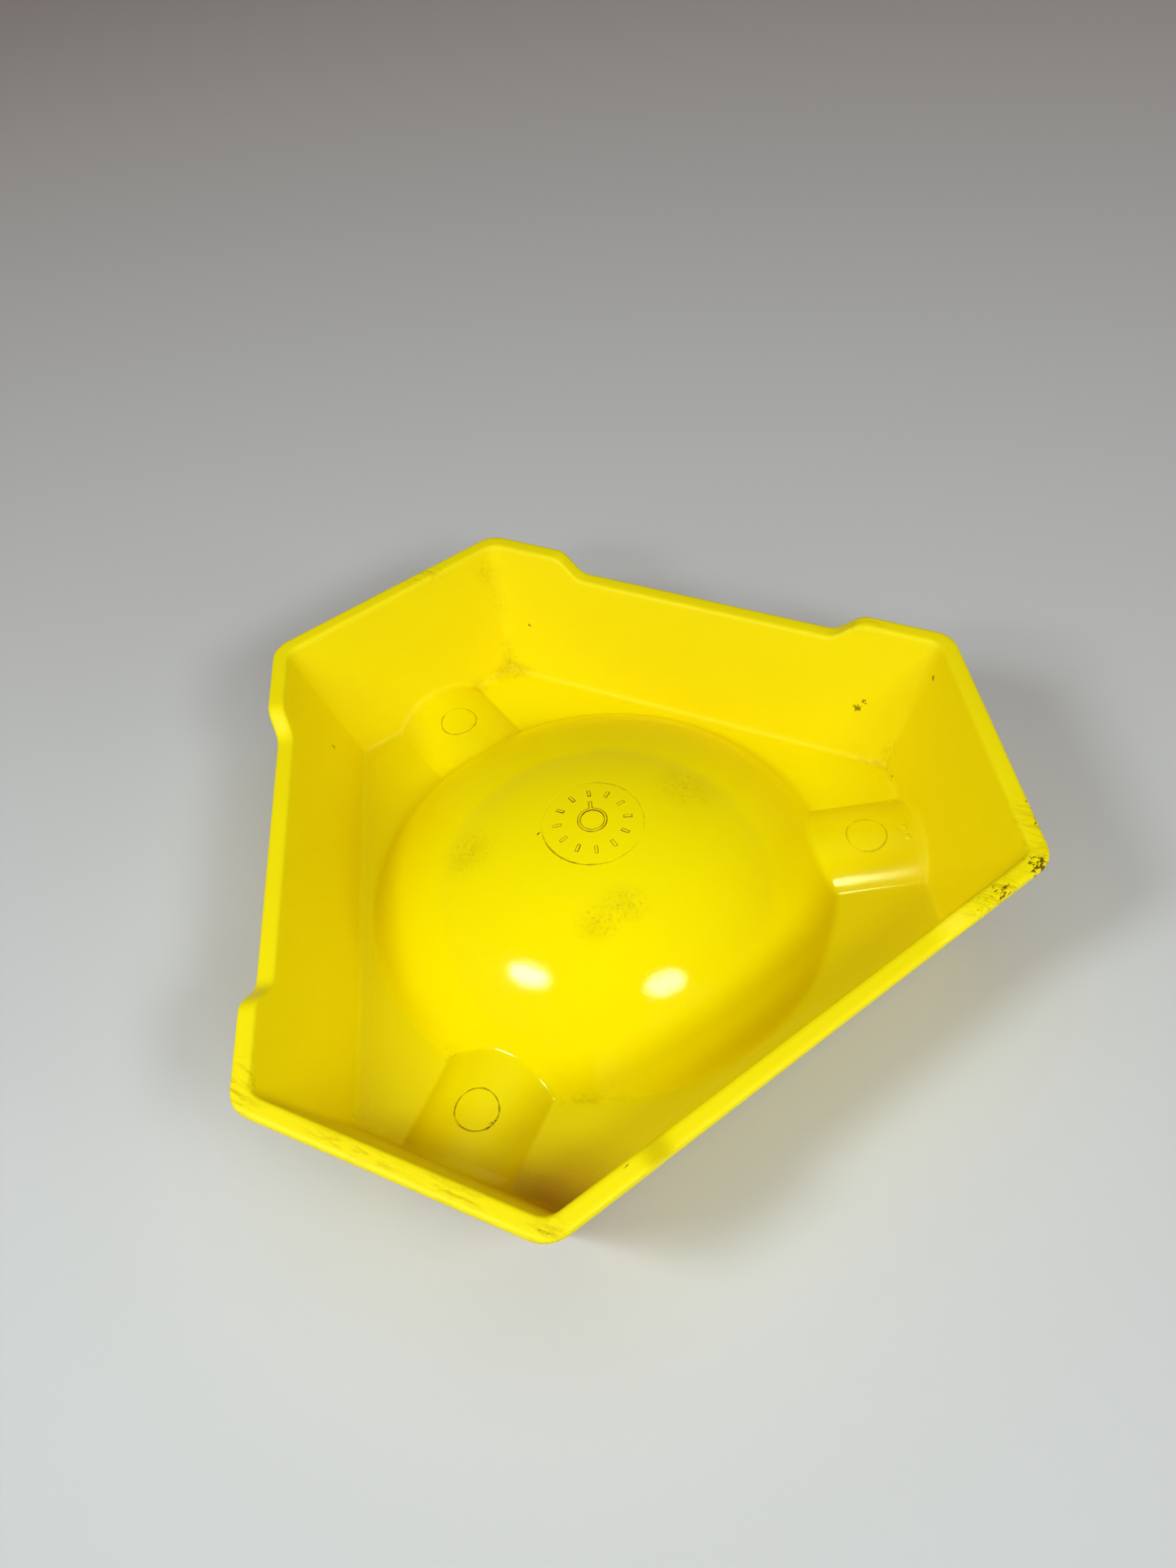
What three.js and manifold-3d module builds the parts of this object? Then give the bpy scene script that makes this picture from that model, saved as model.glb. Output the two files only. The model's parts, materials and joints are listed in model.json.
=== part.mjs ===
// One-piece moulded ashtray, lying face down with its hollow underside open upwards.
//
// It is a shallow flared box on a six-sided outline: three short sides and three long sides in
// turn, all alike about a vertical axis. The deck is the floor of the box. A round bowl is pressed
// into the deck, so its underside stands in the hollow as a dome, and three cigarette rests run
// from the bowl to the middles of the short sides, with a half-round ridge under each.
// Around each short side the rim is a foot. Between the feet it drops by a few millimetres.
//
// Millimetres. +Z is up, out of the open underside. The deck lies on z = 0. +X points to the
// middle of one short side. The mesh is placed so that its bounding box is centred on the origin.

import * as THREE from 'three';
import { LoftGeometry } from 'three/addons/geometries/LoftGeometry.js';
import { mergeVertices } from 'three/addons/utils/BufferGeometryUtils.js';
import Module from 'manifold-3d';

// Outer size.
const HEIGHT = 33;
const SHORT_RIM = 78; // axis to the outer edge of a short side, at the rim
const LONG_RIM = 63.7; // axis to the outer edge of a long side, at the rim
const CORNER_RADIUS = 6.2;
const DECK_EDGE = 1.2; // chamfer around the deck

// Thickness and the inside of the hollow.
const DECK = 3.6;
const WALL = 3.5; // measured level
const SHORT_FLOOR = 65; // axis to the foot of a short wall, inside
const LONG_FLOOR = 50.3; // axis to the foot of a long wall, inside
const CREASE_RADIUS = 2.7; // upright creases between the walls, inside

// Rim between the feet.
const RIM_DROP = 4;
const LOW_HALF = 27.5; // half the length of the low stretch
const FOOT_START = 36.5; // from the middle of a long side to where the foot is at full height

// Bowl and cigarette rests.
const DOME_RADIUS = 47.6; // where the dome meets the floor of the hollow
const DOME_HEIGHT = 21.6; // above that floor
const REST_HALF_WIDTH = 10.9; // of the ridge, at the floor
const REST_RISE = 4.4; // of the ridge, above the floor
const REST_START = 40; // inside the dome
const REST_END = 67.4; // inside the short wall

const YELLOW = 0xead801;

const SIDE_ANGLE = Math.PI / 3;
const ARC_STEPS = 5;
const ROUND_STEPS = 60;
const DOME_STEPS = 10;
const CLEAR = 1; // how far a cutter runs past the surface that it cuts

const FLOOR_DEPTH = HEIGHT - DECK;
const SHORT_SLOPE = (SHORT_RIM - WALL - SHORT_FLOOR) / FLOOR_DEPTH;
const LONG_SLOPE = (LONG_RIM - WALL - LONG_FLOOR) / FLOOR_DEPTH;
const DOME_SPHERE = (DOME_RADIUS ** 2 + DOME_HEIGHT ** 2) / (2 * DOME_HEIGHT);
const DOME_CENTRE = DECK + DOME_HEIGHT - DOME_SPHERE;
const REST_SPHERE = (REST_HALF_WIDTH ** 2 + REST_RISE ** 2) / (2 * REST_RISE);
const REST_CENTRE = DECK + REST_RISE - REST_SPHERE;

const wasm = await Module();
wasm.setup();

// A closed three.js geometry as a manifold solid.
function solid(geometry) {
  const bare = geometry.index ? geometry.toNonIndexed() : geometry.clone();
  bare.deleteAttribute('normal');
  bare.deleteAttribute('uv');
  const merged = mergeVertices(bare, 1e-4);
  return new wasm.Manifold(new wasm.Mesh({
    numProp: 3,
    vertProperties: new Float32Array(merged.attributes.position.array),
    triVerts: new Uint32Array(merged.index.array),
  }));
}

// A manifold solid as a three.js geometry.
function geometryOf(manifold) {
  const mesh = manifold.getMesh();
  const geometry = new THREE.BufferGeometry();
  geometry.setAttribute('position', new THREE.BufferAttribute(mesh.vertProperties, 3));
  geometry.setIndex(new THREE.BufferAttribute(mesh.triVerts, 1));
  geometry.computeVertexNormals();
  return geometry;
}

// The rounded six-sided outline at one height, anticlockwise from above. Even sides are short.
function outline(shortDistance, longDistance, radius, z) {
  const points = [];
  for (let side = 0; side < 6; side++) {
    const here = (side % 2 === 0 ? shortDistance : longDistance) - radius;
    const next = (side % 2 === 0 ? longDistance : shortDistance) - radius;
    const along = (next - here * Math.cos(SIDE_ANGLE)) / Math.sin(SIDE_ANGLE);
    const angle = side * SIDE_ANGLE;
    const centreX = here * Math.cos(angle) - along * Math.sin(angle);
    const centreY = here * Math.sin(angle) + along * Math.cos(angle);
    for (let step = 0; step <= ARC_STEPS; step++) {
      const turn = angle + (step / ARC_STEPS) * SIDE_ANGLE;
      points.push(new THREE.Vector3(centreX + radius * Math.cos(turn), centreY + radius * Math.sin(turn), z));
    }
  }
  return points;
}

// The outline of the outer walls at a height, moved in by an inset.
function outerOutline(z, inset = 0) {
  const below = HEIGHT - z;
  const shortDistance = SHORT_RIM - SHORT_SLOPE * below - inset;
  const longDistance = LONG_RIM - LONG_SLOPE * below - inset;
  return outline(shortDistance, longDistance, CORNER_RADIUS - inset, z);
}

// The outline of the hollow at a height.
function innerOutline(z) {
  const above = z - DECK;
  return outline(SHORT_FLOOR + SHORT_SLOPE * above, LONG_FLOOR + LONG_SLOPE * above, CREASE_RADIUS, z);
}

// The full block inside the outer walls.
function outerBlock() {
  const sections = [outerOutline(0, DECK_EDGE), outerOutline(DECK_EDGE), outerOutline(HEIGHT)];
  return solid(new LoftGeometry(sections, { capStart: true, capEnd: true }));
}

// The hollow of the underside, open at the rim.
function hollow() {
  const sections = [innerOutline(DECK), innerOutline(HEIGHT + CLEAR)];
  return solid(new LoftGeometry(sections, { capStart: true, capEnd: true }));
}

// A prism of an upright profile (level offset, height), pushed outwards from start to end.
function prismAlong(angle, profile, start, end) {
  const geometry = new THREE.ExtrudeGeometry(profile, {
    depth: end - start,
    bevelEnabled: false,
    curveSegments: ARC_STEPS * 2,
  });
  const outwards = new THREE.Vector3(Math.cos(angle), Math.sin(angle), 0);
  const sideways = new THREE.Vector3(-Math.sin(angle), Math.cos(angle), 0);
  const placed = new THREE.Matrix4().makeBasis(sideways, new THREE.Vector3(0, 0, 1), outwards);
  placed.setPosition(outwards.clone().multiplyScalar(start));
  return solid(geometry.applyMatrix4(placed));
}

// What is taken off the rim in the middle of a long side, with an easy S-shaped ramp at each end.
function rimGap(angle) {
  const low = HEIGHT - RIM_DROP;
  const middle = (LOW_HALF + FOOT_START) / 2;
  const profile = new THREE.Shape();
  profile.moveTo(-FOOT_START, HEIGHT + CLEAR);
  profile.lineTo(-FOOT_START, HEIGHT);
  profile.bezierCurveTo(-middle, HEIGHT, -middle, low, -LOW_HALF, low);
  profile.lineTo(LOW_HALF, low);
  profile.bezierCurveTo(middle, low, middle, HEIGHT, FOOT_START, HEIGHT);
  profile.lineTo(FOOT_START, HEIGHT + CLEAR);
  return prismAlong(angle, profile, LONG_FLOOR, LONG_RIM + WALL);
}

// A body of revolution under a sphere centred on the axis, from one height up to its top.
function sphereCap(radius, centre, from) {
  const profile = [new THREE.Vector2(0, from)];
  const widest = Math.acos((from - centre) / radius);
  for (let step = 0; step <= DOME_STEPS; step++) {
    const tilt = widest * (1 - step / DOME_STEPS);
    const reach = step === DOME_STEPS ? 0 : radius * Math.sin(tilt);
    profile.push(new THREE.Vector2(reach, centre + radius * Math.cos(tilt)));
  }
  return solid(new THREE.LatheGeometry(profile, ROUND_STEPS).rotateX(Math.PI / 2));
}

// The underside of the bowl, rooted in the deck.
function dome() {
  return sphereCap(DOME_SPHERE, DOME_CENTRE, DECK / 2);
}

// The inside of the bowl, an even thickness within the dome.
function bowl() {
  return sphereCap(DOME_SPHERE - DECK, DOME_CENTRE, -CLEAR);
}

// A round-topped bar of a given radius about the line that each rest is centred on.
function restBar(angle, radius, from, start, end) {
  const halfAngle = Math.acos((from - REST_CENTRE) / radius);
  const profile = new THREE.Shape();
  profile.absarc(0, REST_CENTRE, radius, Math.PI / 2 - halfAngle, Math.PI / 2 + halfAngle);
  return prismAlong(angle, profile, start, end);
}

// The half-round ridge under a cigarette rest.
function ridge(angle) {
  return restBar(angle, REST_SPHERE, DECK / 2, REST_START, REST_END);
}

// The open channel of a cigarette rest, from the bowl out through the short side.
function channel(angle) {
  return restBar(angle, REST_SPHERE - DECK, -CLEAR, REST_START, SHORT_RIM);
}

function ashtray() {
  let body = outerBlock().subtract(hollow()).add(dome());
  for (let turn = 0; turn < 3; turn++) {
    body = body.add(ridge(turn * 2 * SIDE_ANGLE));
  }
  body = body.subtract(bowl());
  for (let turn = 0; turn < 3; turn++) {
    body = body.subtract(channel(turn * 2 * SIDE_ANGLE));
    body = body.subtract(rimGap((turn * 2 + 1) * SIDE_ANGLE));
  }
  return geometryOf(body);
}

const melamine = new THREE.MeshStandardMaterial({ color: YELLOW, roughness: 0.25, metalness: 0 });
const mesh = new THREE.Mesh(ashtray(), melamine);
mesh.name = 'ashtray';
mesh.position.x = -(SHORT_RIM - LONG_RIM) / 2;

const group = new THREE.Group();
group.add(mesh);

export default group;
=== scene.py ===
"""Looks of a one-piece melamine ashtray that lies face down, its hollow underside open upwards.

The skin is a fine grid laid over the moulding's plain faces and then settled onto a distance
function that holds every wall, fillet and rounded edge, so all of its shape is in the mesh.

Shapes are worked out in millimetres in the moulding's own axes: its threefold axis at x = y = 0,
its deck on z = 0, and +X towards the middle of one short side. The mesh is made in metres in
the frame. "Along" and "beside" are level distances from the axis, along and beside the line to
the middle of the nearest short side.
"""

import json
import math

import bmesh
import bpy
import numpy as np
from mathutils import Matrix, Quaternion, Vector


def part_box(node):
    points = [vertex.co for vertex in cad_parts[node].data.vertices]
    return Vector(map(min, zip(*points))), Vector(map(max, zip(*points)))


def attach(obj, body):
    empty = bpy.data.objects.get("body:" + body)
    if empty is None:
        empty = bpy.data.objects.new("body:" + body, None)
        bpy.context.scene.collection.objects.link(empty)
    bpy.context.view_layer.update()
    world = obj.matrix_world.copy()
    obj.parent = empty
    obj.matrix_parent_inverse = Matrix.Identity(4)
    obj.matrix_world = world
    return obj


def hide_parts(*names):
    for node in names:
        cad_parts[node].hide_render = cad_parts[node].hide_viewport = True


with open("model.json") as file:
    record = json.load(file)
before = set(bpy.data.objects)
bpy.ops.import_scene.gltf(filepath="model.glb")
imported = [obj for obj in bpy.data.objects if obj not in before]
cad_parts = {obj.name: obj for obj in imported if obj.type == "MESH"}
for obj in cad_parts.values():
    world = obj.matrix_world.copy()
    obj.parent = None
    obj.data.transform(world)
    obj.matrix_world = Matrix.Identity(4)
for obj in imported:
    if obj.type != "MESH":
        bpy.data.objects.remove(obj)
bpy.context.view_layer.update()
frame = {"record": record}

MM = 0.001  # metres in a millimetre

# Outer size, from the frame. The three feet stand evenly round the threefold axis.
low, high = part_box("ashtray")
feet = [mount for mount in frame["record"]["mounts"] if mount["name"].startswith("foot_")]
AXIS_X = sum(foot["pos_m"][0] for foot in feet) / len(feet)
HEIGHT = high.z / MM
SHORT_RIM = (high.x - AXIS_X) / MM  # axis to the outer edge of a short side, at the rim
LONG_RIM = (AXIS_X - low.x) / MM  # axis to the outer edge of a long side, at the rim

# Thickness and the inside of the hollow.
DECK = 3.6
WALL = 3.5  # measured level
SHORT_FLOOR = 65.0  # axis to the foot of a short wall, inside
LONG_FLOOR = 50.3  # axis to the foot of a long wall, inside

# Rim between the feet.
RIM_DROP = 4.0
LOW_HALF = 27.5  # half the length of the low stretch
FOOT_START = 36.5  # from the middle of a long side to where the foot is at full height

# Bowl and cigarette rests.
DOME_RADIUS = 47.6  # where the dome meets the floor of the hollow
DOME_HEIGHT = 21.6  # above that floor
REST_HALF_WIDTH = 10.9  # of the ridge, at the floor
REST_RISE = 4.4  # of the ridge, above the floor

# Rounding of the edges and creases.
OUTER_CORNER = 6.2
CREASE_AT_FLOOR = 1.8  # upright creases inside
CREASE_AT_RIM = 3.8
RIM_EDGE = 0.9
DECK_EDGE = 1.8
WALL_FOOT = 1.2
DOME_FOOT = 1.8
RIDGE_FOOT = 0.9
MOUTH_EDGE = 2.0

# Marks left by the mould.
INSERT_RADIUS = 10.0  # round die insert on top of the dome
PIN_RADIUS = 4.05  # ejector pin on the crest of each ridge
PIN_PLACE = 55.0  # axis to the middle of a pin
SEAM_HALF_WIDTH = 0.2
SEAM_DEPTH = 0.06
FACE_REACH = DECK / 3  # how far off the face of the hollow a point still counts as on it

SIXTH = math.radians(60)
THIRD = math.radians(120)
COS60 = math.cos(SIXTH)
SIN60 = math.sin(SIXTH)

FLOOR_DEPTH = HEIGHT - DECK
SHORT_SLOPE = (SHORT_RIM - WALL - SHORT_FLOOR) / FLOOR_DEPTH
LONG_SLOPE = (LONG_RIM - WALL - LONG_FLOOR) / FLOOR_DEPTH
WALL_LEAN = math.atan((SHORT_SLOPE + LONG_SLOPE) / 2)
# How far the rounded rim edge keeps the outer wall from reaching its full distance.
EDGE_LOSS = RIM_EDGE * (math.tan(WALL_LEAN) + 1 / math.cos(WALL_LEAN) - 1)
DOME_SPHERE = (DOME_RADIUS**2 + DOME_HEIGHT**2) / (2 * DOME_HEIGHT)
DOME_CENTRE = DECK + DOME_HEIGHT - DOME_SPHERE
REST_SPHERE = (REST_HALF_WIDTH**2 + REST_RISE**2) / (2 * REST_RISE)
REST_CENTRE = DECK + REST_RISE - REST_SPHERE
FLOOR_TO_DOME = (DECK - DOME_CENTRE) / DOME_SPHERE  # cosine between their normals
FLOOR_TO_RIDGE = (DECK - REST_CENTRE) / REST_SPHERE


def smooth_step(value, start, end):
    """0 before start and 1 after end, with an easy rise between them."""
    share = np.clip((value - start) / (end - start), 0, 1)
    return share * share * (3 - 2 * share)


# --- The moulding as a distance function: negative inside the plastic ---------------------------


def round_min(a, b, radius, cosine):
    """The union of two solids with a fillet where they meet.

    a and b are distances outside each solid, and cosine is that of the angle between their
    normals at the crease.
    """
    to_a = radius - a
    to_b = radius - b
    in_fillet = (to_a > cosine * to_b) & (to_b > cosine * to_a)
    square = (to_a**2 + to_b**2 - 2 * cosine * to_a * to_b) / (1 - cosine**2)
    return np.where(in_fillet, radius - np.sqrt(np.maximum(square, 0)), np.minimum(a, b))


def round_max(a, b, radius, cosine):
    """What two solids share, with a rounded edge where their faces meet."""
    return -round_min(-a, -b, radius, cosine)


def fold(points):
    """Along, beside and height of points, measured from the nearest short side's middle line."""
    x, y, z = points.T
    turn = np.round(np.arctan2(y, x) / THIRD) * THIRD
    along = x * np.cos(turn) + y * np.sin(turn)
    beside = np.abs(y * np.cos(turn) - x * np.sin(turn))
    return along, beside, z


def outline(along, beside, short, long_, radius):
    """Level distance outside a six-sided outline with rounded corners."""
    return round_max(along - short, along * COS60 + beside * SIN60 - long_, radius, COS60)


def outer_wall(along, beside, z):
    """Distance outside the outsides of the walls, as if they had no rim."""
    below = HEIGHT - z
    short = SHORT_RIM + EDGE_LOSS - SHORT_SLOPE * below
    long_ = LONG_RIM + EDGE_LOSS - LONG_SLOPE * below
    return outline(along, beside, short, long_, OUTER_CORNER) * math.cos(WALL_LEAN)


def inner_wall(along, beside, z):
    """Distance outside the insides of the walls, whose creases widen towards the rim."""
    above = z - DECK
    short = SHORT_FLOOR + SHORT_SLOPE * above
    long_ = LONG_FLOOR + LONG_SLOPE * above
    rise = np.clip(above / FLOOR_DEPTH, 0, 1)
    radius = CREASE_AT_FLOOR + (CREASE_AT_RIM - CREASE_AT_FLOOR) * rise
    return outline(along, beside, short, long_, radius) * math.cos(WALL_LEAN)


def rim_height(along, beside):
    """Height of the rim: full at the feet, lower in the middle of each long side."""
    from_middle = np.abs(beside * COS60 - along * SIN60)
    share = np.clip((from_middle - LOW_HALF) / (FOOT_START - LOW_HALF), 0, 1)
    ramp = share**3 * (share * (6 * share - 15) + 10)
    return HEIGHT - RIM_DROP * (1 - ramp)


def ball(along, beside, z, radius):
    """Distance outside the ball that the dome and the bowl are parts of."""
    return np.sqrt(along**2 + beside**2 + (z - DOME_CENTRE) ** 2) - radius


def bar(beside, z, radius):
    """Distance outside the round bar that a ridge and its channel are parts of."""
    return np.hypot(beside, z - REST_CENTRE) - radius


def hollow_floor(along, beside, z):
    """Distance above the floor of the hollow, with its ridges and the dome."""
    with_ridge = round_min(z - DECK, bar(beside, z, REST_SPHERE), RIDGE_FOOT, FLOOR_TO_RIDGE)
    return round_min(with_ridge, ball(along, beside, z, DOME_SPHERE), DOME_FOOT, FLOOR_TO_DOME)


def on_hollow_floor(points):
    """Whether points lie on the face of the hollow, away from its walls' upper parts."""
    return np.abs(hollow_floor(*fold(points))) < FACE_REACH


def pressed_in(along, beside, z):
    """Distance outside the bowl and the channels of the rests, which open through the deck."""
    bowl = ball(along, beside, z, DOME_SPHERE - DECK)
    channel = bar(beside, z, REST_SPHERE - DECK)
    return round_min(bowl, channel, MOUTH_EDGE, FLOOR_TO_DOME)


def moulding(points):
    """Distance outside the plastic."""
    along, beside, z = fold(points)
    lean = math.sin(WALL_LEAN)
    block = round_max(outer_wall(along, beside, z), -z, DECK_EDGE, lean)
    block = round_max(block, z - rim_height(along, beside), RIM_EDGE, -lean)
    above_floor = -hollow_floor(along, beside, z)
    hollow = round_max(inner_wall(along, beside, z), above_floor, WALL_FOOT, lean)
    shell = round_max(block, -hollow, RIM_EDGE, lean)
    return round_max(shell, -pressed_in(along, beside, z), MOUTH_EDGE, FLOOR_TO_DOME)


# --- Marks of the mould, as small heights on the face of the hollow -----------------------------

TICKS = 12
TICK_START = 6.1
TICK_END = 7.7
TICK_HALF_WIDTH = 0.3
HUB_RADIUS = 2.6
HUB_HALF_WIDTH = 0.28
POINTER_END = 4.6
MARK_HEIGHT = 0.16
MARK_EDGE = 0.2
# Small round bumps, as (x, y, radius): two on the ridge towards +X and a nib beside the insert.
DOTS = ((62.7, 0.5, 0.75), (62.9, -2.0, 0.75), (-10.5, -0.9, 0.4))
DOT_HEIGHT = 0.2
DOT_EDGE = 0.4  # over which a dot rises to its full height


def seam_distance(points):
    """Signed level distance outside the nearest of the insert's and the pins' circles."""
    along, beside, _ = fold(points)
    insert = np.hypot(along, beside) - INSERT_RADIUS
    pin = np.hypot(along - PIN_PLACE, beside) - PIN_RADIUS
    return np.where(np.abs(insert) < np.abs(pin), insert, pin)


def bar_relief(across, half_width):
    """1 on a raised line of a given half width, falling to 0 over its soft edges."""
    return 1 - smooth_step(np.abs(across), half_width - MARK_EDGE / 2, half_width + MARK_EDGE / 2)


def dial_relief(points):
    """A plain moulding dial: twelve ticks round a ring that has a short pointer."""
    radius = np.hypot(points[:, 0], points[:, 1])
    angle = np.arctan2(points[:, 1], points[:, 0])
    step = 2 * math.pi / TICKS
    tick_across = radius * np.sin(angle - np.round(angle / step) * step)
    tick_middle = (TICK_START + TICK_END) / 2
    tick = bar_relief(tick_across, TICK_HALF_WIDTH)
    tick = tick * bar_relief(radius - tick_middle, (TICK_END - TICK_START) / 2)
    hub = bar_relief(radius - HUB_RADIUS, HUB_HALF_WIDTH)
    pointer_middle = (HUB_RADIUS + POINTER_END) / 2
    pointer = bar_relief(points[:, 0], TICK_HALF_WIDTH)
    pointer = pointer * bar_relief(points[:, 1] - pointer_middle, (POINTER_END - HUB_RADIUS) / 2)
    return np.maximum.reduce([tick, hub, pointer])


def dot_distance(points):
    """Level distance outside the nearest dot."""
    distances = [np.hypot(points[:, 0] - x, points[:, 1] - y) - radius for x, y, radius in DOTS]
    return np.minimum.reduce(distances)


def dot_relief(points):
    return 1 - smooth_step(dot_distance(points), -DOT_EDGE, 0)


def relief(points):
    """Height of the mould's marks above the plain face, only on the face of the hollow."""
    share = np.clip(np.abs(seam_distance(points)) / SEAM_HALF_WIDTH, 0, 1)
    groove = (1 - share**2) ** 2
    raised = MARK_HEIGHT * dial_relief(points) + DOT_HEIGHT * dot_relief(points)
    height = raised - SEAM_DEPTH * groove
    return np.where(on_hollow_floor(points), height, 0)


WAVE_HEIGHT = 0.035
# Each wave's radians per millimetre of x and of y, and its phase. All share the one for z.
WAVES = ((0.071, 0.043, 0.3), (-0.052, 0.083, 1.9), (0.112, -0.017, 4.1))
WAVE_IN_Z = 0.11


def waviness(points):
    """The slight unevenness of a thick moulding that has shrunk as it cooled."""
    x, y, z = points.T
    waves = [np.sin(in_x * x + in_y * y + WAVE_IN_Z * z + phase) for in_x, in_y, phase in WAVES]
    return WAVE_HEIGHT * sum(waves) / len(waves)


def skin(points):
    """Distance outside the finished surface."""
    return moulding(points) - relief(points) - waviness(points)


SLOPE_STEP = 0.01
LEAST_STEEPNESS = 0.25  # keeps a point that sees no clear slope from jumping
SETTLE_ROUNDS = 9
LONGEST_MOVE = 0.6
LEAST_LENGTH = 1e-9  # keeps a point that is already in place from dividing by zero


def gradient(points):
    """The direction in which the distance grows, found from both sides along each axis."""
    sides = []
    for axis in np.eye(3) * SLOPE_STEP:
        sides.append((skin(points + axis) - skin(points - axis)) / (2 * SLOPE_STEP))
    return np.stack(sides, axis=1)


def settle(points):
    """Moves points straight onto the surface, a little at a time."""
    for _ in range(SETTLE_ROUNDS):
        slope = gradient(points)
        steepness = np.maximum((slope**2).sum(axis=1), LEAST_STEEPNESS)
        move = -slope * (skin(points) / steepness)[:, None]
        length = np.maximum(np.linalg.norm(move, axis=1), LEAST_LENGTH)
        points = points + move * np.minimum(1, LONGEST_MOVE / length)[:, None]
    return points


# --- The grid: columns run from the top of the dome out over the rim and back under the deck ----

# Columns lie at shares of the way from the middle of a side (0) to its corner (1), and stand
# close together at the corner, at the foot of a ridge and on the ramps of the rim.
SHORT_STRETCHES = ((0, 0.46, 13), (0.46, 0.60, 8), (0.60, 0.85, 6), (0.85, 1, 6))
LONG_STRETCHES = ((1, 0.92, 7), (0.92, 0.71, 7), (0.71, 0.47, 16), (0.47, 0, 14))
# Rings on top of the dome lie close together where the dial and the insert's seam are.
DOME_STRETCHES = (
    (0.7, 2.1, 2), (2.1, 3.1, 8), (3.1, 4.3, 3), (4.3, 4.9, 4), (4.9, 5.9, 2), (5.9, 6.3, 4),
    (6.3, 7.5, 3), (7.5, 7.9, 4), (7.9, 9.6, 3), (9.6, 10.4, 12), (10.4, 12, 2), (12, 30, 10),
)
EVEN_TO = 12.0  # inside this radius the columns are evenly spread
RADIAL_FROM = 30.0  # outside this radius they run straight to the foot of the dome
DOME_SIDE_RINGS = 13
FLOOR_RINGS = 28
INNER_WALL_RINGS = 22
RIM_RINGS = 9
OUTER_WALL_RINGS = 16
DECK_RINGS = 12
BOWL_RINGS = 16
EVEN_SHARE = 0.35  # how far rings between two key lines keep to an even spacing


def spread(stretches):
    """Values along joined stretches of (start, end, count), without the last end."""
    parts = [np.linspace(start, end, count, endpoint=False) for start, end, count in stretches]
    return np.concatenate(parts)


def steps(count):
    """Shares from 0, left out, to 1, closer together near both ends."""
    even = np.arange(1, count + 1) / count
    eased = (1 - np.cos(math.pi * even)) / 2
    return EVEN_SHARE * even + (1 - EVEN_SHARE) * eased


class Columns:
    """The columns of one sixth of the moulding, from a short side's middle to a long side's."""

    def __init__(self):
        short = spread(SHORT_STRETCHES)
        long_ = np.append(spread(LONG_STRETCHES), 0)
        self.share = np.concatenate([short, long_])
        self.on_short = np.arange(len(self.share)) < len(short)
        self.corner = len(short)
        self.even_angle = np.linspace(0, SIXTH, len(self.share))

    def on_wall(self, short, long_, z):
        """Where the columns cross a wall at heights z, for side distances at those heights."""
        half_short = (long_ - short * COS60) / SIN60
        half_long = (short - long_ * COS60) / SIN60
        off_middle = self.share * half_long  # along the long side, from its middle
        along = np.where(self.on_short, short, long_ * COS60 + off_middle * SIN60)
        beside_long = long_ * SIN60 - off_middle * COS60
        beside = np.where(self.on_short, self.share * half_short, beside_long)
        return np.stack([along, beside, np.broadcast_to(z, along.shape)], axis=1)

    def on_outer_wall(self, z):
        below = HEIGHT - z
        return self.on_wall(SHORT_RIM - SHORT_SLOPE * below, LONG_RIM - LONG_SLOPE * below, z)

    def on_inner_wall(self, z):
        above = z - DECK
        return self.on_wall(SHORT_FLOOR + SHORT_SLOPE * above, LONG_FLOOR + LONG_SLOPE * above, z)

    def at_rim(self, on_wall):
        """Where the columns reach the rim on a wall, which is lower between the feet."""
        top = on_wall(HEIGHT)
        return on_wall(rim_height(top[:, 0], top[:, 1]))

    def at_foot(self, on_wall, base):
        """Where the columns reach the foot of a wall, which is raised over a rest."""
        foot = on_wall(base)
        return on_wall(np.where(self.on_short, rest_height(foot[:, 1], base), base))

    def at_bowl(self, foot, base):
        """Where the columns, coming in from the foot of a wall, reach the bowl."""
        ball_radius = DOME_SPHERE - (DECK - base)
        beside = foot[:, 1]
        height = np.where(self.on_short, rest_height(beside, base), base)
        radius = np.sqrt(ball_radius**2 - (height - DOME_CENTRE) ** 2)
        half_width = math.sqrt((REST_SPHERE - (DECK - base)) ** 2 - (base - REST_CENTRE) ** 2)
        edge_angle = math.asin(half_width / radius[self.corner])
        angle = np.arctan2(beside, foot[:, 0])
        past_rest = (beside - half_width) / (beside[self.corner] - half_width)
        beside_rest = edge_angle + (angle[self.corner] - edge_angle) * past_rest
        on_rest = np.arcsin(np.clip(beside / radius, -1, 1))
        short_angle = np.where(beside < half_width, on_rest, beside_rest)
        angle = np.where(self.on_short, short_angle, angle)
        return np.stack([radius * np.cos(angle), radius * np.sin(angle), height], axis=1)


def rest_height(beside, base):
    """Height of a rest, or of the flat beside it, on the face whose flat is at base."""
    radius = REST_SPHERE - (DECK - base)
    return np.maximum(base, REST_CENTRE + np.sqrt(np.maximum(radius**2 - beside**2, 0)))


def face_height(along, beside, base):
    """Height of the face whose flat is at base, over the bowl, the rests and the flat."""
    radius = DOME_SPHERE - (DECK - base)
    bowl = DOME_CENTRE + np.sqrt(np.maximum(radius**2 - along**2 - beside**2, 0))
    return np.maximum(bowl, rest_height(beside, base))


def over_face(plan, base):
    """Level points (rings, columns, 2) lifted onto a face."""
    height = face_height(plan[..., 0], plan[..., 1], base)
    return np.concatenate([plan, height[..., None]], axis=-1)


def between(start, end, count):
    """Rings of points from start, left out, to end."""
    return start + steps(count)[:, None, None] * (end - start)


def polar(radius, angle):
    return np.stack([radius * np.cos(angle), radius * np.sin(angle)], axis=-1)


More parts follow.
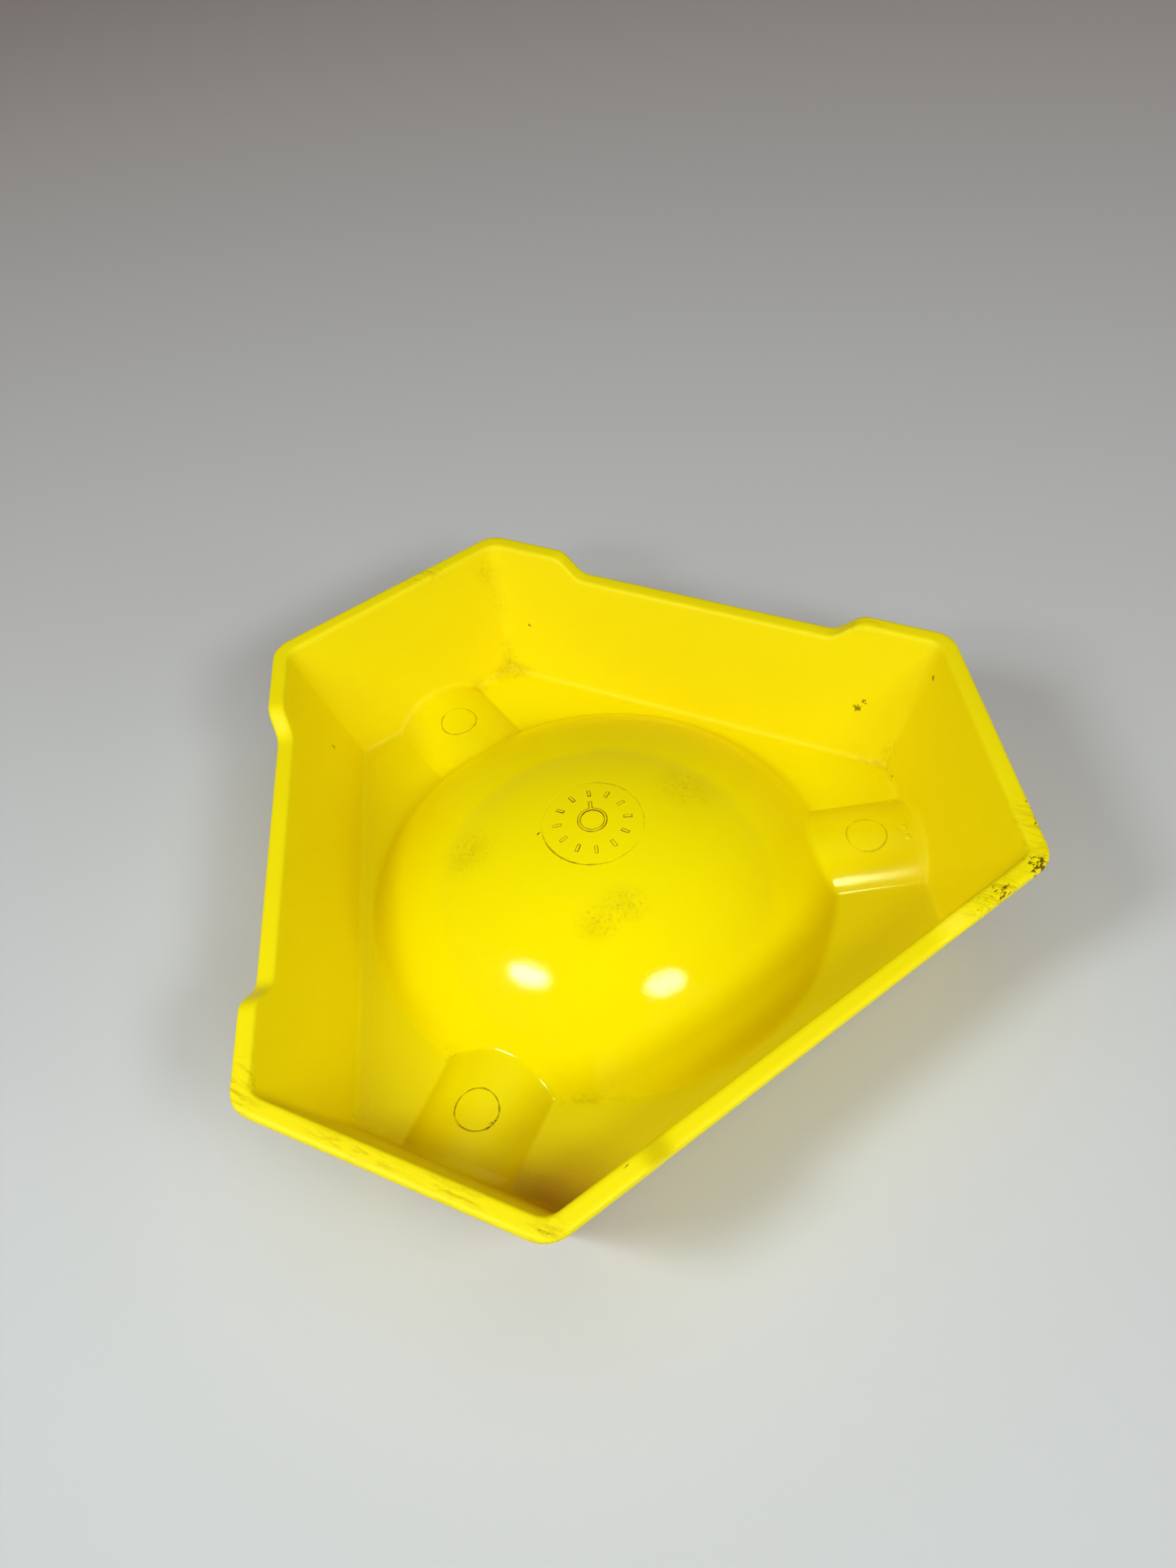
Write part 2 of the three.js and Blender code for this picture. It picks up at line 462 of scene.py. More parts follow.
def dome_rings(columns, edge):
    """Rings from near the top of the dome to its foot."""
    edge_angle = np.arctan2(edge[:, 1], edge[:, 0])
    radius = spread(DOME_STRETCHES)[:, None]
    share = smooth_step(radius, EVEN_TO, RADIAL_FROM)
    top = polar(radius, columns.even_angle * (1 - share) + edge_angle * share)
    start = polar(RADIAL_FROM, edge_angle)
    side = between(start, edge[:, :2], DOME_SIDE_RINGS)
    return over_face(np.concatenate([top, start[None], side]), DECK)


def wedge_rings():
    """All rings of one sixth of the moulding, as points (rings, columns, 3)."""
    columns = Columns()
    floor = columns.at_foot(columns.on_inner_wall, DECK)
    dome_foot = columns.at_bowl(floor, DECK)
    rim_inside = columns.at_rim(columns.on_inner_wall)
    rim_outside = columns.at_rim(columns.on_outer_wall)
    deck = columns.at_foot(columns.on_outer_wall, 0.0)
    mouth = columns.at_bowl(deck, 0.0)
    bowl_top = np.zeros_like(mouth)
    return np.concatenate([
        dome_rings(columns, dome_foot),
        over_face(between(dome_foot[:, :2], floor[:, :2], FLOOR_RINGS), DECK),
        between(floor, rim_inside, INNER_WALL_RINGS),
        between(rim_inside, rim_outside, RIM_RINGS),
        between(rim_outside, deck, OUTER_WALL_RINGS),
        over_face(between(deck[:, :2], mouth[:, :2], DECK_RINGS), 0.0),
        over_face(between(mouth[:, :2], bowl_top[:, :2], BOWL_RINGS)[:-1], 0.0),
    ])


def turned(points, angle):
    """Points turned about the threefold axis."""
    turn = np.array([[math.cos(angle), math.sin(angle)], [-math.sin(angle), math.cos(angle)]])
    return np.concatenate([points[..., :2] @ turn, points[..., 2:]], axis=-1)


def all_round(wedge):
    """A sixth mirrored into a third, and that third repeated round the axis."""
    mirrored = turned(wedge * np.array([1, -1, 1]), THIRD)[:, -2:0:-1]
    third = np.concatenate([wedge, mirrored], axis=1)
    return np.concatenate([turned(third, turn * THIRD) for turn in range(3)], axis=1)


def grid_mesh():
    """The closed grid as vertices and faces, with a pole in the middle of each face."""
    rings = all_round(wedge_rings())
    count, around = rings.shape[:2]
    dome_top = DOME_CENTRE + DOME_SPHERE
    poles = [[0, 0, dome_top], [0, 0, dome_top - DECK]]
    vertices = np.concatenate([rings.reshape(-1, 3), poles])
    top = count * around
    bottom = top + 1
    here = np.arange(around)
    following = (here + 1) % around
    ring = np.arange(count - 1)[:, None] * around
    next_ring = ring + around
    corners = [ring + here, next_ring + here, next_ring + following, ring + following]
    quads = np.stack(corners, axis=-1).reshape(-1, 4).tolist()
    last = (count - 1) * around
    pairs = list(zip(here.tolist(), following.tolist()))
    fans = [[top, a, b] for a, b in pairs]
    fans += [[bottom, last + b, last + a] for a, b in pairs]
    return vertices, quads + fans


REFINING = (1.0, 0.7, 0.45)  # how far each halving of the faces reaches from a seam or a dot


def refine(mesh, reach):
    """Halves the faces of the hollow that lie near the seam of an ejector pin or near a dot."""
    grid = bmesh.new()
    grid.from_mesh(mesh)
    middles = np.array([face.calc_center_median() for face in grid.faces])
    along, beside, _ = fold(middles)
    from_pin = np.abs(np.hypot(along - PIN_PLACE, beside) - PIN_RADIUS)
    from_detail = np.minimum(from_pin, dot_distance(middles))
    near = (from_detail < reach) & on_hollow_floor(middles)
    grid.faces.ensure_lookup_table()
    edges = {edge for index in np.flatnonzero(near) for edge in grid.faces[index].edges}
    ordered = sorted(edges, key=lambda edge: edge.index)
    bmesh.ops.subdivide_edges(grid, edges=ordered, cuts=1, use_grid_fill=True)
    many_sided = [face for face in grid.faces if len(face.verts) > 4]
    bmesh.ops.triangulate(grid, faces=many_sided)
    grid.to_mesh(mesh)
    grid.free()


def coordinates(mesh):
    values = np.empty(len(mesh.vertices) * 3, dtype=np.float32)
    mesh.vertices.foreach_get("co", values)
    return values.reshape(-1, 3).astype(float)


def add_attribute(mesh, name, values):
    attribute = mesh.attributes.new(name, "FLOAT", "POINT")
    attribute.data.foreach_set("value", values.astype(np.float32))


# --- Where dirt and wear gather, and where shade is painted -------------------------------------

NOOK_REACH = 10.0  # beyond this the distance from a crease isn't told apart
SEAM_REACH = 3.0  # the same for a seam
RIM_REACH = 3.0  # the same for the rim, in radii of its edge
# How dull the finish is: 1 on a wall, 0 on the dome, and in between on the ridges and the flat.
DULL_FLAT = 0.25
DULL_END = 0.4  # where the ridges meet the short walls
OFF_WALL = (1.0, 3.0)  # from a wall, where its dullness begins and ends to fade
OFF_DOME = (0.3, 2.0)  # from the dome, where its gloss begins and ends to fade


def nook_distance(points):
    """Distance from the nearest crease of the hollow: at the feet of the walls, between them and
    round the dome."""
    along, beside, z = fold(points)
    above = z - DECK
    short = SHORT_FLOOR + SHORT_SLOPE * above - along
    long_ = LONG_FLOOR + LONG_SLOPE * above - along * COS60 - beside * SIN60
    floor = np.abs(hollow_floor(along, beside, z))
    wall = np.abs(inner_wall(along, beside, z))
    dome = np.abs(ball(along, beside, z, DOME_SPHERE))
    creases = [np.hypot(floor, wall), np.hypot(short, long_), np.hypot(above, dome)]
    return np.minimum.reduce(creases)


def patch(points, centre, reach):
    """1 at a centre, falling to 0 at a given reach along each axis."""
    offset = (points - np.array(centre)) / np.array(reach)
    return 1 - smooth_step(np.linalg.norm(offset, axis=1), 0, 1)


def patches(points, places):
    """The strongest of several (centre, reach, strength) patches."""
    strengths = [strength * patch(points, centre, reach) for centre, reach, strength in places]
    return np.maximum.reduce(strengths)


# Where each kind of wear lies, and where shade is painted, as patches (centre, reach, strength),
# in the moulding's own axes. Smudges are rubbed onto open faces, grime gathers in creases,
# painted shade darkens a corner and the foot of a wall beside it, scuffs and rubs mark the rim,
# and seam grime is what the insert's and the pins' seams hold.
SMUDGES = (
    ((-1.6, -21.2, 22.0), (6, 4.5, 8), 1.0),
    ((3.6, -18.4, 22.5), (7, 5, 8), 0.9),
    ((-25.0, 0.5, 20.0), (8, 7, 7), 0.9),
    ((19.5, 7.5, 21.7), (9, 8, 7), 0.7),
    ((-14.5, 65.5, 4.2), (6, 5, 4), 0.8),
    ((-22.6, 61.2, 4.2), (3, 3, 3), 0.8),
    ((-16.5, 74.3, 28.0), (5, 3, 6), 0.55),
)
GRIME = (
    ((-14.0, 66.0, 6.0), (12, 10, 10), 1.0),
    ((-15.5, 72.4, 20.4), (6, 5, 7), 0.7),
    ((64.0, 21.0, 5.0), (7, 8, 12), 0.9),
    ((-54.0, 36.5, 15.0), (5, 6, 7), 0.9),
    ((-7.0, -46.5, 4.5), (13, 3, 3), 0.65),
    ((-31.5, -34.5, 5.0), (4, 4, 5), 1.0),
    ((-48.0, -46.0, 6.0), (12, 10, 10), 0.5),
)
# Painted shade: a broad brown darkening over the corner where two walls meet, and a weaker one at
# the foot of the wall beside it, where shade falls.
PAINTED_SHADE_PATCHES = (
    ((-15.5, -67.5, 6.0), (26, 18, 20), 1.0),
    ((-40.0, -54.0, 4.0), (26, 12, 12), 0.4),
)
SCUFFS = (
    ((74.8, -29.3, 33.0), (6.0, 5.0, 5), 1.0),
    ((67.5, -33.5, 33.0), (6, 4, 4), 0.85),
    ((63.5, -36.0, 33.0), (9, 5, 4), 0.6),
    ((77.6, -19.0, 33.0), (1.6, 9, 3), 0.75),
    ((78.0, -4.0, 32.6), (1.4, 11, 2), 0.75),
    ((-14.8, -80.0, 33.0), (4, 3, 4), 0.45),
    ((-2.0, -71.5, 33.0), (3, 2, 3), 0.5),
    ((-30.4, 71.5, 33.0), (4, 3, 3), 0.7),
    ((-10.5, -0.9, 24.3), (0.9, 0.9, 0.9), 1.0),
    ((-24.7, -50.5, 8.0), (1.8, 1.8, 1.8), 1.0),
)
RUBS = (
    ((-43.5, -63.3, 33.0), (13, 9, 5), 1.0),
    ((-28.0, -72.0, 33.0), (12, 8, 5), 0.8),
    ((-62.0, -50.0, 33.0), (7, 8, 6), 1.0),
    ((-14.8, -79.5, 33.0), (6, 4, 4), 1.0),
    ((76.5, -22.0, 33.0), (5, 12, 4), 0.8),
    ((67.0, -34.5, 33.0), (13, 9, 4), 1.0),
    ((61.0, 35.4, 33.0), (8, 4, 4), 0.8),
    ((-31.0, 71.0, 33.0), (9, 6, 4), 0.8),
)
SEAM_GRIME = (
    ((-27.5, -47.6, 8.0), (13, 13, 9), 0.95),
    ((-24.6, -50.6, 8.0), (3.5, 3.5, 3.5), 2.0),
    ((-5.0, -8.0, 24.0), (16, 14, 9), 0.85),
    ((7.0, 7.0, 24.0), (14, 14, 9), 0.6),
    ((55.0, 0.0, 8.0), (9, 9, 9), 0.7),
    ((-27.5, 47.6, 8.0), (9, 9, 9), 0.85),
)
# Each kind of wear, and the painted shade, by the name of its attribute.
WEAR_AND_PAINTED_SHADE = {
    "smudge": SMUDGES,
    "grime": GRIME,
    # The next entry is painted shade over a corner, not a stain.
    "painted_shade": PAINTED_SHADE_PATCHES,
    "scuff": SCUFFS,
    "rub": RUBS,
    "seam_grime": SEAM_GRIME,
}


def dullness(along, beside, z):
    """How dull the finish is, from 0 on the dome to 1 on the walls."""
    off_wall = np.abs(inner_wall(along, beside, z))
    off_dome = np.abs(ball(along, beside, z, DOME_SPHERE))
    outwards = np.clip((along - DOME_RADIUS) / (SHORT_FLOOR - DOME_RADIUS), 0, 1)
    on_wall = 1 - smooth_step(off_wall, *OFF_WALL)
    on_flat = DULL_FLAT + (DULL_END - DULL_FLAT) * outwards
    return np.maximum(on_wall, on_flat * smooth_step(off_dome, *OFF_DOME))


def wear_attributes(mesh, points):
    """Distances and strengths that the material turns into marks, dirt, wear and painted shade."""
    on_hollow = on_hollow_floor(points)
    seam = np.clip(seam_distance(points), -SEAM_REACH, SEAM_REACH)
    add_attribute(mesh, "seam", np.where(on_hollow, seam, SEAM_REACH))
    add_attribute(mesh, "mark", np.where(on_hollow, dial_relief(points), 0))
    add_attribute(mesh, "nook", np.minimum(nook_distance(points), NOOK_REACH))
    for name, places in WEAR_AND_PAINTED_SHADE.items():
        add_attribute(mesh, name, patches(points, places))
    along, beside, z = fold(points)
    below_rim = np.clip((rim_height(along, beside) - z) / RIM_EDGE, 0, RIM_REACH)
    add_attribute(mesh, "below_rim", below_rim)
    add_attribute(mesh, "dull", dullness(along, beside, z))


def make_ashtray():
    """The finished skin of the moulding, as one closed piece."""
    vertices, faces = grid_mesh()
    mesh = bpy.data.meshes.new("moulding")
    mesh.from_pydata(vertices.tolist(), [], faces)
    for reach in REFINING:
        refine(mesh, reach)
    points = settle(coordinates(mesh))
    wear_attributes(mesh, points)
    placed = points * MM + np.array([AXIS_X, 0, 0])
    mesh.vertices.foreach_set("co", placed.astype(np.float32).ravel())
    mesh.polygons.foreach_set("use_smooth", np.ones(len(mesh.polygons), dtype=bool))
    mesh.update()
    ashtray = bpy.data.objects.new("moulding", mesh)
    bpy.context.scene.collection.objects.link(ashtray)
    return ashtray


# --- Materials ----------------------------------------------------------------------------------

YELLOW = (0.91, 0.71, 0.0)
WARM_YELLOW = (0.90, 0.69, 0.0)
DIRT = (0.22, 0.10, 0.0)
# Colour of the painted shade over a corner and the foot of a wall.
PAINTED_SHADE_TONE = (0.55, 0.14, 0.0)
SEAM_TONE = (0.13, 0.05, 0.0)
SMUDGE_TONE = (0.36, 0.17, 0.0)
RUB_TONE = (0.40, 0.24, 0.0)
SCUFF_TONE = (0.10, 0.04, 0.0)
MELAMINE_IOR = 1.6
GLOSS_TINT = (1.0, 0.96, 0.5)
GLOSS = (0.05, 0.08)  # the least and the greatest roughness of the dome
# It is also added under the painted shade in a corner.
ROUGHER = 0.42  # added to it where the finish is dull or worn
# The surface's fine texture, as shares of its height, and how strongly it shows.
PEEL_SHARE = 0.3
FINE_SHARE = 0.2
SCRATCH_SHARE = 0.015
BUMP_STRENGTH = 0.5
BUMP_HEIGHT = 0.1
# The marks, in millimetres unless a line says otherwise.
SEAM_LINE = (0.14, 0.29)  # the least and the greatest half width of the dirt in a seam
NOOK_SPREAD = 3.0  # from a crease to where its specks end
NOOK_LINE = (0.2, 0.8)  # from a crease, where its line begins and ends to fade
RIM_FADE = (0.6, 2.6)  # below the rim, where its wear begins and ends to fade, in edge radii
SCUFF_START = 0.72  # the noise value from which a faint scuff shows
SCUFF_GAIN = 0.27  # how far that value comes down for the strongest scuff
RUB_TURN = math.radians(31)  # turns the line of one short side's rim onto the X axis


class Nodes:
    """Adds nodes to a material or world. Each input is a socket to link or a value to set."""

    def __init__(self, owner, shader="Principled BSDF"):
        self.owner = owner
        owner.use_nodes = True
        self.tree = owner.node_tree
        self.shader = self.tree.nodes[shader]

    def put(self, socket, value):
        if isinstance(value, bpy.types.NodeSocket):
            self.tree.links.new(value, socket)
        else:
            socket.default_value = value

    def add(self, kind, inputs, **settings):
        node = self.tree.nodes.new(kind)
        for key, value in settings.items():
            setattr(node, key, value)
        for key, value in inputs.items():
            self.put(node.inputs[key], value)
        return node

    def math(self, operation, first, second=0.0):
        node = self.add("ShaderNodeMath", {0: first, 1: second}, operation=operation)
        return node.outputs[0]

    def attribute(self, name):
        return self.add("ShaderNodeAttribute", {}, attribute_name=name).outputs["Fac"]

    def ramp(self, value, start, end, low_value=0.0, high_value=1.0):
        """A smooth change from one value at the start to another at the end."""
        given = {"Value": value, "From Min": start, "From Max": end}
        wanted = {"To Min": low_value, "To Max": high_value}
        kind = "ShaderNodeMapRange"
        return self.add(kind, given | wanted, interpolation_type="SMOOTHSTEP").outputs[0]

    def noise(self, place, scale, detail=3.0, roughness=0.5):
        inputs = {"Vector": place, "Scale": scale, "Detail": detail, "Roughness": roughness}
        return self.add("ShaderNodeTexNoise", inputs).outputs["Fac"]

    def stretched(self, place, scale, turn=0.0):
        """A place turned about the upright axis and then scaled, to draw a texture out one way."""
        rotation = {"Vector": place, "Rotation": (0.0, 0.0, turn)}
        turned_place = self.add("ShaderNodeMapping", rotation).outputs[0]
        return self.add("ShaderNodeMapping", {"Vector": turned_place, "Scale": scale}).outputs[0]

    def mix(self, share, first, second):
        node = self.add("ShaderNodeMix", {"Factor": share}, data_type="RGBA")
        colours = [socket for socket in node.inputs if socket.type == "RGBA"]
        for socket, value in zip(colours, (first, second)):
            linked = isinstance(value, bpy.types.NodeSocket)
            self.put(socket, value if linked else (*value, 1.0))
        return next(socket for socket in node.outputs if socket.type == "RGBA")


def millimetres(nodes):
    """The object's own coordinates in millimetres, so that texture scales are per millimetre."""
    place = nodes.add("ShaderNodeTexCoord", {}).outputs["Object"]
    node = nodes.add("ShaderNodeVectorMath", {0: place, "Scale": 1 / MM}, operation="SCALE")
    return node.outputs[0]


def seam_dirt(nodes, place):
    """Dirt caught in the fine seams of the insert and the pins, broken up along their length."""
    distance = nodes.math("ABSOLUTE", nodes.attribute("seam"))
    half_width = nodes.ramp(nodes.noise(place, 0.8, 3.0), 0.3, 0.7, *SEAM_LINE)
    line = nodes.math("SUBTRACT", 1.0, nodes.math("DIVIDE", distance, half_width))
    broken = nodes.ramp(nodes.noise(place, 0.25, 3.0, 0.6), 0.36, 0.60, 0.25, 1.0)
    held = nodes.math("MULTIPLY", broken, nodes.attribute("seam_grime"))
    return nodes.math("MULTIPLY", nodes.ramp(line, 0.0, 0.6), held)


def mark_dirt(nodes, place):
    """Dirt along the edges of the raised marks."""
    mark = nodes.attribute("mark")
    edge = nodes.math("MULTIPLY", mark, nodes.math("SUBTRACT", 1.0, mark))
    broken = nodes.ramp(nodes.noise(place, 0.35, 3.0, 0.6), 0.35, 0.62, 0.5, 1.0)
    return nodes.math("MULTIPLY", nodes.ramp(edge, 0.02, 0.14), broken)


def nook_dirt(nodes, place):
    """Fine specks near the creases and a broken line along them, where grime has gathered."""
    nook = nodes.attribute("nook")
    near = nodes.ramp(nook, 0.0, NOOK_SPREAD, 1.0, 0.0)
    specks = nodes.ramp(nodes.noise(place, 0.9, 5.0, 0.7), 0.54, 0.70)
    haze = nodes.ramp(nodes.noise(place, 0.25, 4.0, 0.6), 0.40, 0.70, 0.0, 0.3)
    spread_out = nodes.math("MULTIPLY", near, nodes.math("MAXIMUM", specks, haze))
    crease = nodes.ramp(nook, *NOOK_LINE, 0.6, 0.0)
    broken = nodes.ramp(nodes.noise(place, 0.5, 4.0, 0.7), 0.40, 0.62)
    line = nodes.math("MULTIPLY", crease, broken)
    gathered = nodes.math("MAXIMUM", spread_out, line)
    return nodes.math("MULTIPLY", nodes.attribute("grime"), gathered)


def painted_shade(nodes, place):
    """Painted shade: an even brown darkening over a corner and the foot of a wall, where shade
    falls.
    """
    cloud = nodes.ramp(nodes.noise(place, 0.12, 4.0, 0.6), 0.3, 0.7, 0.75, 1.0)
    return nodes.math("MULTIPLY", nodes.attribute("painted_shade"), cloud)


def smudges(nodes, place):
    """Soft clouds of very fine stipple on the dome."""
    cloud = nodes.ramp(nodes.noise(place, 0.22, 4.0, 0.6), 0.35, 0.65, 0.1, 0.4)
    stipple = nodes.ramp(nodes.noise(place, 1.5, 4.0, 0.75), 0.50, 0.62)
    rubbed_on = nodes.math("MAXIMUM", cloud, stipple)
    return nodes.math("MULTIPLY", nodes.attribute("smudge"), rubbed_on)


def near_rim(nodes):
    """1 on the rim, falling to 0 a little way down the walls."""
    return nodes.ramp(nodes.attribute("below_rim"), *RIM_FADE, 1.0, 0.0)


def scuffs(nodes, place):
    """Dark chips and scratches."""
    strength = nodes.attribute("scuff")
    blotches = nodes.noise(nodes.stretched(place, (0.8, 1.4, 1.0), -0.5), 0.9, 6.0, 0.72)
    wanted = nodes.math("SUBTRACT", SCUFF_START, nodes.math("MULTIPLY", strength, SCUFF_GAIN))
    mark = nodes.math("SUBTRACT", blotches, wanted)
    return nodes.math("MULTIPLY", nodes.ramp(mark, 0.0, 0.05), nodes.ramp(strength, 0.02, 0.3))


# Single small chips on the inside of the walls, as (centre, radius) in the moulding's own axes.
NICKS = (
    ((59.6, 28.1, 15.1), 0.9),
    ((61.0, 28.0, 16.9), 0.5),
    ((72.7, 22.3, 27.5), 0.6),
    ((65.2, 16.4, 4.2), 0.35),
    ((-8.6, 67.9, 15.9), 0.35),
    ((-54.2, 38.0, 15.6), 0.45),
)


def nicks(nodes, place):
    """Small ragged chips at single places. Each centre is first set onto the surface."""
    ragged = nodes.ramp(nodes.noise(place, 1.5, 4.0, 0.7), 0.3, 0.7, -0.5, 0.5)
    centres = settle(np.array([centre for centre, _ in NICKS])) + np.array([AXIS_X / MM, 0, 0])
    chips = 0.0
    for centre, (_, radius) in zip(centres.tolist(), NICKS):
        gap = nodes.add("ShaderNodeVectorMath", {0: place, 1: centre}, operation="DISTANCE")
        edge = nodes.math("ADD", gap.outputs["Value"], ragged)
        chip = nodes.ramp(edge, 0.5 * radius, radius, 1.0, 0.0)
        chips = nodes.math("MAXIMUM", chips, chip)
    return chips


def rubs(nodes, place):
    """Light brown streaks rubbed into the rim."""
    streaks = nodes.noise(nodes.stretched(place, (0.25, 1.5, 1.0), RUB_TURN), 0.9, 5.0, 0.7)
    broken = nodes.ramp(streaks, 0.45, 0.68)
    strength = nodes.math("MULTIPLY", nodes.attribute("rub"), near_rim(nodes))
    return nodes.math("MULTIPLY", strength, broken)


def surface_height(nodes, place):
    """Very fine texture of the moulded surface and hairline scratches, as a height."""
    peel = nodes.noise(place, 0.45, 2.0)
    fine = nodes.noise(place, 3.0, 3.0)
    drawn_out = nodes.stretched(place, (0.12, 3.4, 0.4), 0.6)
    scratches = nodes.ramp(nodes.noise(drawn_out, 1.0, 3.0), 0.62, 0.7)
    height = nodes.math("MULTIPLY", fine, FINE_SHARE)
    height = nodes.math("ADD", nodes.math("MULTIPLY", peel, PEEL_SHARE), height)
    return nodes.math("SUBTRACT", height, nodes.math("MULTIPLY", scratches, SCRATCH_SHARE))


def stained(nodes, place):
    """The plastic's colour with its stains and a painted shade, and how worn or shaded each place
    is.
    """
    layers = (
        # The first layer is painted shade over a corner; the rest are stains and wear.
        (painted_shade(nodes, place), 0.6, PAINTED_SHADE_TONE),
        (smudges(nodes, place), 0.6, SMUDGE_TONE),
        (nook_dirt(nodes, place), 0.7, DIRT),
        (rubs(nodes, place), 0.62, RUB_TONE),
        (seam_dirt(nodes, place), 1.0, SEAM_TONE),
        (mark_dirt(nodes, place), 1.0, SEAM_TONE),
        (scuffs(nodes, place), 0.95, SCUFF_TONE),
        (nicks(nodes, place), 0.8, SCUFF_TONE),
    )
    tone = nodes.ramp(nodes.noise(place, 0.03, 3.0), 0.3, 0.7)
    colour = nodes.mix(tone, YELLOW, WARM_YELLOW)
    worn_or_shaded = 0.0
    for amount, share, stain in layers:
        colour = nodes.mix(nodes.math("MULTIPLY", amount, share), colour, stain)
        worn_or_shaded = nodes.math("MAXIMUM", worn_or_shaded, amount)
    return colour, worn_or_shaded


def melamine():
    """Glossy yellow melamine with light use. The walls and the rim are duller than the dome."""
    nodes = Nodes(bpy.data.materials.new("melamine"))
    place = millimetres(nodes)
    colour, worn_or_shaded = stained(nodes, place)
    gloss = nodes.ramp(nodes.noise(place, 0.12, 4.0), 0.3, 0.7, *GLOSS)
    dull = nodes.math("MAXIMUM", nodes.attribute("dull"), near_rim(nodes))
    # The worn amount includes the painted shade, so the finish is also rougher there.
    dull_worn_or_shaded = nodes.math("MAXIMUM", dull, worn_or_shaded)
    roughness = nodes.math("ADD", gloss, nodes.math("MULTIPLY", dull_worn_or_shaded, ROUGHER))
    relief_inputs = {
        "Strength": BUMP_STRENGTH,
        "Distance": BUMP_HEIGHT * MM,
        "Height": surface_height(nodes, place),
    }
    bump = nodes.add("ShaderNodeBump", relief_inputs)
    nodes.put(nodes.shader.inputs["Base Color"], colour)
    nodes.put(nodes.shader.inputs["Roughness"], roughness)
    nodes.put(nodes.shader.inputs["Normal"], bump.outputs[0])
    nodes.shader.inputs["IOR"].default_value = MELAMINE_IOR
    nodes.shader.inputs["Specular Tint"].default_value = (*GLOSS_TINT, 1.0)
    return nodes.owner


PALE_GREY = (0.60, 0.57, 0.58)
FLOOR_ROUGHNESS = 0.85


def floor_paint():
    """Plain pale floor."""
    nodes = Nodes(bpy.data.materials.new("floor_paint"))
    nodes.shader.inputs["Base Color"].default_value = (*PALE_GREY, 1.0)
    nodes.shader.inputs["Roughness"].default_value = FLOOR_ROUGHNESS
    return nodes.owner


# --- Floor, lights and camera -------------------------------------------------------------------

FLOOR_HALF = 1.5
CAMERA_TARGET = Vector((AXIS_X + 0.15 * MM, 2.54 * MM, high.z))
CAMERA_DISTANCE = 0.2188
CAMERA_AZIMUTH = math.radians(0.31)
CAMERA_ELEVATION = math.radians(50.18)
CAMERA_ROLL = math.radians(-8.23)
CAMERA_LENS = 26.56


def direction(azimuth, elevation):
    """Unit vector from the object, with azimuth 0 at -Y and 90 degrees at +X."""
    level = math.cos(elevation)
    return Vector((math.sin(azimuth) * level, -math.cos(azimuth) * level, math.sin(elevation)))


def add_floor():
    mesh = bpy.data.meshes.new("floor")
    signs = ((-1, -1), (1, -1), (1, 1), (-1, 1))
    corners = [(FLOOR_HALF * x, FLOOR_HALF * y, low.z) for x, y in signs]
    mesh.from_pydata(corners, [], [(0, 1, 2, 3)])
    mesh.materials.append(floor_paint())
    floor = bpy.data.objects.new("floor", mesh)
    bpy.context.scene.collection.objects.link(floor)


# Lights, as (name, azimuth, elevation, distance, width, depth, tilt, watts), angles in degrees.
# The two keys are small and close, so that they show as a pair of highlights on the dome.
KEYS = (
    ("key_left", -54.4, 43.7, 0.232, 0.070, 0.032, 23.0, 0.135),
    ("key_right", 28.6, 43.6, 0.235, 0.068, 0.036, -15.0, 0.105),
)
FILLS = (
    ("fill_front", 20.0, 38.0, 0.9, 0.22, 0.22, 0.0, 1.3),
    ("fill_right", 40.0, 38.0, 0.9, 0.22, 0.22, 0.0, 2.05),
    ("fill_left", -70.0, 45.0, 0.9, 0.22, 0.22, 0.0, 2.15),
    ("fill_wide", -60.0, 32.0, 0.9, 0.90, 0.60, 0.0, 1.5),
    ("fill_low", 60.0, 18.0, 0.9, 0.22, 0.22, 0.0, 0.85),
    ("fill_top", 170.0, 75.0, 0.9, 0.90, 0.60, 0.0, 1.15),
)
LIGHT_TINT = (0.855, 1.0, 1.0)
